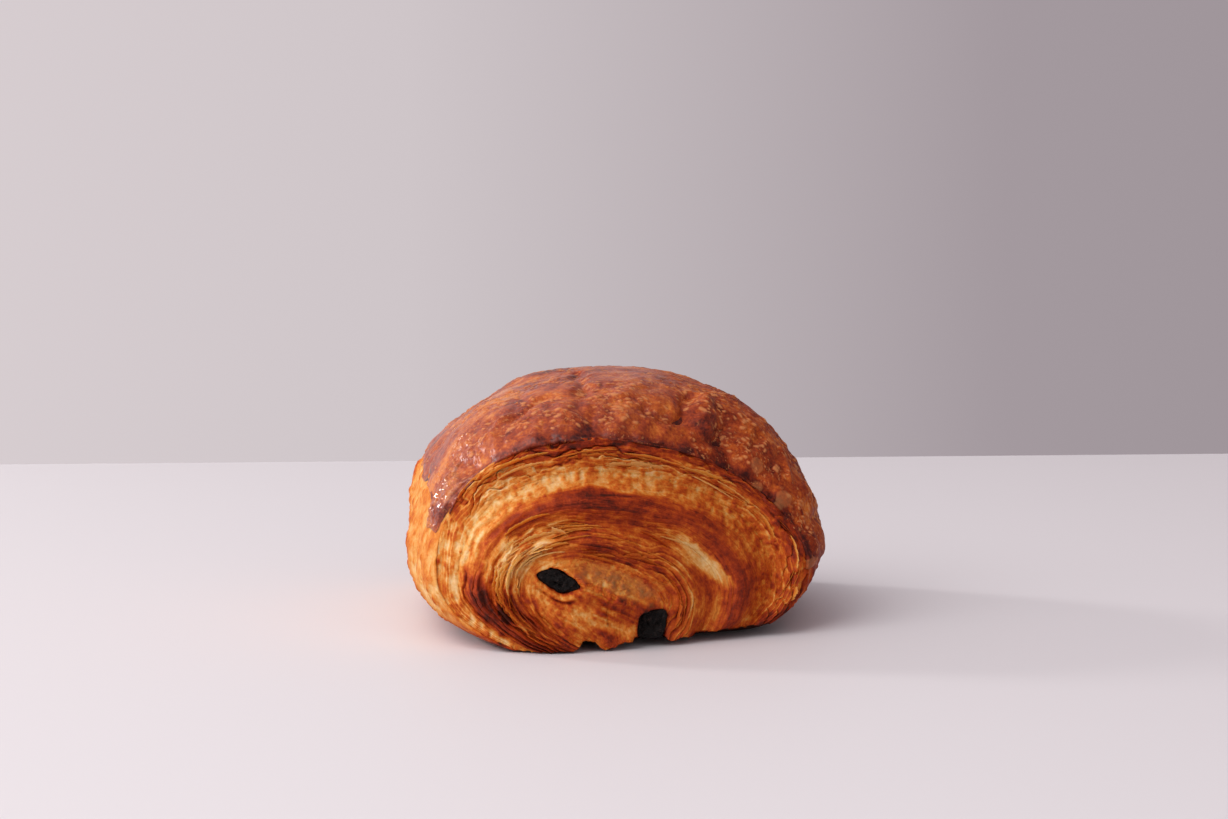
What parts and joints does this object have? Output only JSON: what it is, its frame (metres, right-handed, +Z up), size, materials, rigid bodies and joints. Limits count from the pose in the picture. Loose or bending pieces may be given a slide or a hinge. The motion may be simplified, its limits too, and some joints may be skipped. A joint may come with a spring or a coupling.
{
  "type": "pain au chocolat",
  "caption": "Baked roll of flaky layered pastry with a glazed top, a flat base and dark sticks of chocolate running through it, their ends showing among the layers.",
  "frame": {"origin": "on the base's plane, under the middle of the box", "axes": "+Z up; the roll and its chocolate sticks lie along Y, and the end with the deeper lean faces -Y; +X is to the right seen from there"},
  "size_m": [0.0914, 0.0996, 0.053],
  "materials": {
    "baked_pastry": "flaky baked pastry: glossy mahogany egg glaze on the crust, golden to red-brown layers at the ends",
    "chocolate": "dark baked chocolate, near black, rough with a dull gloss"
  },
  "bodies": {
    "root": {"pastry": "baked_pastry", "chocolate_stick_left": "chocolate", "chocolate_stick_right": "chocolate"}
  },
  "joints": []
}
